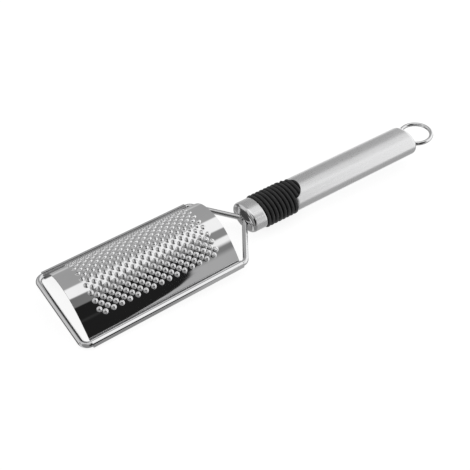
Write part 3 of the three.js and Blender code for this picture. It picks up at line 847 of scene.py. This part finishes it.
faces = of_ + [[v + off for v in f] for f in if_]
last = off + (len(inside) - 1) * nphi
for k in range(nphi):
    faces.append([last + k, last + (k + 1) % nphi, (k + 1) % nphi, k])
tube = piece("satin_handle_tube", laid_handle(np.concatenate([ov, iv])), faces, "handle_tube", tube_mat, sharp_deg=50)

# hanging loop
opening = math.asin(LEG_Y / RING_R)
u_leg = RING_U - RING_R * math.cos(opening)
a0 = math.pi - opening - 0.16
start = np.array([RING_U + RING_R * math.cos(a0), RING_R * math.sin(a0), 0.0])
start_t = np.array([math.sin(a0), -math.cos(a0), 0.0])
leg = np.array([u_leg - 1.6, LEG_Y, 0.0])
leg_t = np.array([1.0, 0.0, 0.0])
side = [(np.array([127.3, LEG_Y, 0.0]), leg_t), (np.array([130.5, LEG_Y, 0.0]), leg_t), (leg, leg_t)]
span = np.linalg.norm(start - leg)
for k in np.linspace(0, 1, 9)[1:-1]:
    p = (2 * k**3 - 3 * k**2 + 1) * leg + (k**3 - 2 * k**2 + k) * span * leg_t + (-2 * k**3 + 3 * k**2) * start + (k**3 - k**2) * span * start_t
    t = (6 * k**2 - 6 * k) * leg + (3 * k**2 - 4 * k + 1) * span * leg_t + (-6 * k**2 + 6 * k) * start + (3 * k**2 - 2 * k) * span * start_t
    side.append((p, t / np.linalg.norm(t)))
bow = []
for a in np.linspace(a0, -a0, 97):
    bow.append((np.array([RING_U + RING_R * math.cos(a), RING_R * math.sin(a), 0.0]), np.array([math.sin(a), -math.cos(a), 0.0])))
flip = np.array([1.0, -1.0, 1.0])
nodes = side + bow + [(p * flip, -t * flip) for p, t in reversed(side)]


def lifted(p, t):
    """The bow is bent up a little from where its legs leave the tube."""
    d = max(p[0] - LIFT_U, 0.0)
    z = LIFT * (d * d / 8.0 if d < 4.0 else d - 2.0)
    t = t + np.array([0.0, 0.0, LIFT * min(d / 4.0, 1.0) * t[0]])
    return p + np.array([0.0, 0.0, z]), t / np.linalg.norm(t)


LIFT, LIFT_U = 0.085, 132.5
rv, rf = swept([lifted(p, t) for p, t in nodes], RING_WIRE_R, 24)
ring = piece("wire_loop", laid_handle(rv), rf, "hanging_ring", ring_mat)

# ------------------------------------------------------------------------ stage
floor_me = bpy.data.meshes.new("floor")
floor_me.from_pydata([(-4, -4, 0), (4, -4, 0), (4, 4, 0), (-4, 4, 0)], [], [[0, 1, 2, 3]])
floor = bpy.data.objects.new("floor", floor_me)
bpy.context.scene.collection.objects.link(floor)
m, nt, bsdf = new_material("pale_floor")
tone = noise(nt, coords(nt, (6.0, 6.0, 6.0)), 1.0, 2.0, 0.5)
nt.links.new(ramp(nt, tone, [(0.3, (0.27, 0.27, 0.27)), (0.7, (0.29, 0.29, 0.29))]), bsdf.inputs["Base Color"])
bsdf.inputs["Roughness"].default_value = 0.9
bsdf.inputs["Specular IOR Level"].default_value = 0.1
bsdf.inputs["Emission Color"].default_value = (1.0, 1.0, 1.0, 1.0)
fx, fy, fz = split(nt, coords(nt, (1.0, 1.0, 1.0)))
# the ground under the arch gets little light
shade = both(nt, rise(nt, fx, -0.1250, -0.1205), rise(nt, fx, -0.038, -0.046), rise(nt, maths(nt, "ABSOLUTE", fy), 0.0275, 0.024))
nt.links.new(maths(nt, "SUBTRACT", 0.88, maths(nt, "MULTIPLY", shade, 0.82)), bsdf.inputs["Emission Strength"])
floor_me.materials.append(m)
floor.visible_glossy = False
floor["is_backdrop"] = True

# studio light: a bright ceiling, a grey wall behind, a bright screen on the right
# and a dark room towards the viewer
world = bpy.data.worlds.new("studio")
bpy.context.scene.world = world
world.use_nodes = True
nt = world.node_tree
nt.nodes.clear()
w_out = nt.nodes.new("ShaderNodeOutputWorld")
w_bg = nt.nodes.new("ShaderNodeBackground")
nt.links.new(w_bg.outputs[0], w_out.inputs["Surface"])
tc = nt.nodes.new("ShaderNodeTexCoord")
rx, ry_, rz_ = split(nt, tc.outputs["Generated"])
beta = maths(nt, "MULTIPLY", maths(nt, "ARCTAN2", ry_, rz_), 180 / math.pi)


def linear(kx, kb, c):
    return maths(nt, "ADD", maths(nt, "ADD", maths(nt, "MULTIPLY", rx, kx), maths(nt, "MULTIPLY", beta, kb)), c)


def up(value, a, b):
    return rise(nt, value, a, b)


def between(value, a, b, soft):
    return both(nt, up(value, a - soft, a + soft), up(value, b + soft, b - soft))


FAR, CEILING, DARK, SCREEN = 0.385, 1.03, 0.014, 1.0
# far wall, lighter to the left and along the horizon
v = lay(nt, FAR, 0.68, up(rx, 0.04, -0.25))
# table, lighter on the left and behind the handle
table = maths(nt, "ADD", maths(nt, "MULTIPLY", up(rx, -0.15, -0.5), 0.30), 0.42)
table = lay(nt, table, 0.27, both(nt, up(ry_, 0.0, -0.3), up(rx, 0.36, 0.30)))
table = lay(nt, table, 0.24, both(nt, up(ry_, 0.0, -0.3), up(rx, 0.10, -0.20)))
table = lay(nt, table, 0.28, both(nt, up(ry_, 0.2, 0.4), up(rx, -0.15, -0.30), up(rz_, -0.35, -0.55)))
table = lay(nt, table, 0.06, both(nt, up(ry_, 0.3, 0.45), up(rx, -0.44, -0.52)))
table = lay(nt, table, 0.85, both(nt, up(rx, 0.40, 0.52), up(ry_, 0.0, 0.3)))
v = lay(nt, v, table, up(rz_, 0.02, -0.06))
v = lay(nt, v, 0.60, both(nt, between(beta, 92.0, 106.0, 4.0), up(rx, 0.40, 0.36)))
v = lay(nt, v, 0.12, both(nt, between(beta, 78.0, 104.0, 5.0), up(rx, 0.0, -0.10), up(rx, -0.75, -0.55)))
# ceiling panel
front_edge = linear(56.7, 1.0, -0.3)
back_edge = linear(13.8, 1.0, -27.5)
v = lay(nt, v, CEILING, both(nt, up(front_edge, -3.2, 3.2), up(back_edge, 3.0, -3.0), up(rx, -0.12, 0.0)))
# room in front of the panel: dim above, dark below, open on the right
dim_edge = linear(30.8, 1.0, 26.7)
dim = maths(nt, "MAXIMUM", maths(nt, "ADD", maths(nt, "MULTIPLY", rx, 0.45), 0.13), 0.18)
v = lay(nt, v, dim, both(nt, up(front_edge, 3.2, -3.2), up(dim_edge, -2.0, 2.0)))
low = maths(nt, "MAXIMUM", linear(0.0, -1.0 / 18.5, -62.0 / 18.5), 0.0)
side = maths(nt, "ADD", rx, maths(nt, "SUBTRACT", maths(nt, "MULTIPLY", maths(nt, "POWER", low, 1.49), 0.135),
                                                 maths(nt, "ADD", 0.300, maths(nt, "MULTIPLY", up(beta, -59.0, -55.0), 0.020))))
room = both(nt, up(dim_edge, 2.0, -2.0), up(beta, -108.0, -104.0))
v = lay(nt, v, DARK, both(nt, room, up(side, 0.006, -0.006)))
right = both(nt, up(dim_edge, 2.0, -2.0), up(beta, -104.0, -98.0), up(side, -0.006, 0.006))
v = lay(nt, v, 0.44, right)
v = lay(nt, v, 0.23, both(nt, right, between(beta, -57.5, -48.6, 3.0)))
v = lay(nt, v, 1.02, both(nt, right, between(beta, -48.6, -36.9, 3.2)))
v = lay(nt, v, 0.03, both(nt, up(rx, 0.24, 0.20), between(beta, -55.0, -52.5, 1.2)))
left = both(nt, up(rx, 0.04, -0.16), between(beta, -125.0, 29.0, 4.0))
v = lay(nt, v, 0.70, both(nt, left, up(beta, -42.0, -30.0)))
v = lay(nt, v, 0.28, both(nt, up(rx, -0.30, -0.48), between(beta, -125.0, 4.0, 5.0)))
# screens on the right
v = lay(nt, v, SCREEN, both(nt, up(rx, 0.39, 0.47), between(beta, -95.0, 29.0, 4.0)))
v = lay(nt, v, 0.70, both(nt, up(rx, 0.37, 0.45), up(rx, 0.66, 0.60), between(beta, -4.0, 29.0, 4.0)))
v = lay(nt, v, 1.1, both(nt, up(rx, 0.64, 0.72), between(beta, -110.0, 140.0, 5.0)))
# past the edge of the floor the backdrop is plain
seen = nt.nodes.new("ShaderNodeLightPath")
v = lay(nt, v, 1.0, seen.outputs["Is Camera Ray"])
nt.links.new(v, w_bg.inputs["Strength"])
w_bg.inputs["Color"].default_value = (1.0, 1.0, 1.0, 1.0)

# ----------------------------------------------------------------------- camera
CAM_AZ, CAM_EL, CAM_ROLL = math.radians(-32.939), math.radians(43.856), math.radians(2.954)
CAM_D, CAM_T, CAM_F = 446.556, np.array([109.862, -8.377, 0.0]), 758.05
back = np.array([math.sin(CAM_AZ) * math.cos(CAM_EL), -math.cos(CAM_AZ) * math.cos(CAM_EL), math.sin(CAM_EL)])
fwd = -back
cx = np.cross(fwd, [0, 0, 1.0])
cx /= np.linalg.norm(cx)
cy = np.cross(fwd, cx)
right = math.cos(CAM_ROLL) * cx + math.sin(CAM_ROLL) * cy
down = -math.sin(CAM_ROLL) * cx + math.cos(CAM_ROLL) * cy
axes = [R_TILT @ right, R_TILT @ -down, R_TILT @ back]
place = laid(CAM_T + CAM_D * back)
cam_data = bpy.data.cameras.new("camera")
cam_data.sensor_width = 36.0
cam_data.lens = CAM_F / 470.0 * 36.0
cam_data.clip_start, cam_data.clip_end = 0.01, 50.0
cam = bpy.data.objects.new("camera", cam_data)
bpy.context.scene.collection.objects.link(cam)
cam.matrix_world = Matrix([[*(float(a[i]) for a in axes), float(place[i])] for i in range(3)] + [[0, 0, 0, 1]])
bpy.context.scene.camera = cam
bpy.context.scene.view_settings.view_transform = "Standard"

# ------------------------------------------------------------------------- size
bpy.context.view_layer.update()
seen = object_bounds()
